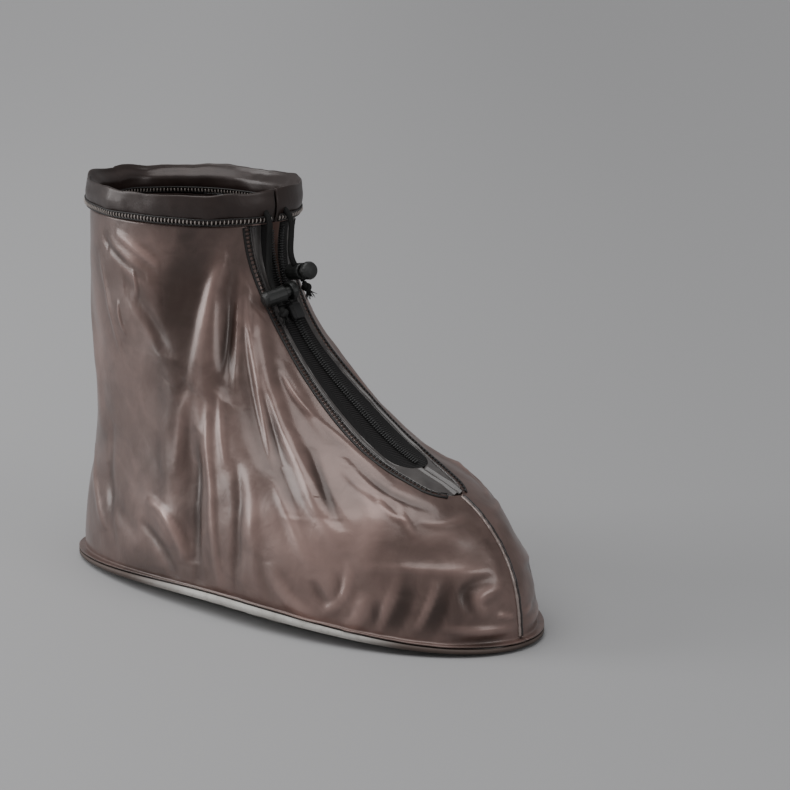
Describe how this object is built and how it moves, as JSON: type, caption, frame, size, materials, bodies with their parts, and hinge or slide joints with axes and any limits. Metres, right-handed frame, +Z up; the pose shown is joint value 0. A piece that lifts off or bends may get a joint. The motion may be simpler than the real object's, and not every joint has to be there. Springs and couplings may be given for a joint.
{
  "type": "shoe cover",
  "caption": "Waterproof ankle-high shoe cover of smoky see-through film, with a ribbed sole, a front zip and a drawcord collar with spring cord locks.",
  "frame": {"origin": "on the floor under the middle of the sole", "axes": "+X to the toe, +Y to the wearer's left, +Z up"},
  "size_m": [0.3, 0.1327, 0.2118],
  "materials": {
    "brown_film": "satin see-through PVC film",
    "clear_strip": "glossy see-through strip",
    "pale_sole": "matte, moulded",
    "black_tape": "woven",
    "black_coil": "satin nylon",
    "black_lock": "moulded",
    "black_cord": "braided"
  },
  "bodies": {
    "cover": {"right_panel": "brown_film", "left_panel": "brown_film", "collar": "brown_film", "outsole": "pale_sole", "drawcord": "black_cord", "right_zip_strip": "clear_strip", "left_zip_strip": "clear_strip", "right_zip_tape": "black_tape", "left_zip_tape": "black_tape", "right_zip_coil": "black_coil", "left_zip_coil": "black_coil", "zip_slider": "black_coil", "upper_lock_barrel": "black_lock", "lower_lock_barrel": "black_lock", "upper_cord_end": "black_cord", "lower_cord_end": "black_cord", "upper_cord_knot": "black_cord", "lower_cord_knot": "black_cord"},
    "upper_button": {"upper_lock_button": "black_lock"},
    "lower_button": {"lower_lock_button": "black_lock"}
  },
  "joints": [
    {"name": "upper_button_press", "type": "slide", "parent": "cover", "child": "upper_button", "axis": [-0.9568, 0.2197, -0.1906], "range_m": [0, 0.003], "stiffness_N_per_m": 300},
    {"name": "lower_button_press", "type": "slide", "parent": "cover", "child": "lower_button", "axis": [-0.2563, -0.9441, -0.2072], "range_m": [0, 0.003], "stiffness_N_per_m": 300}
  ]
}
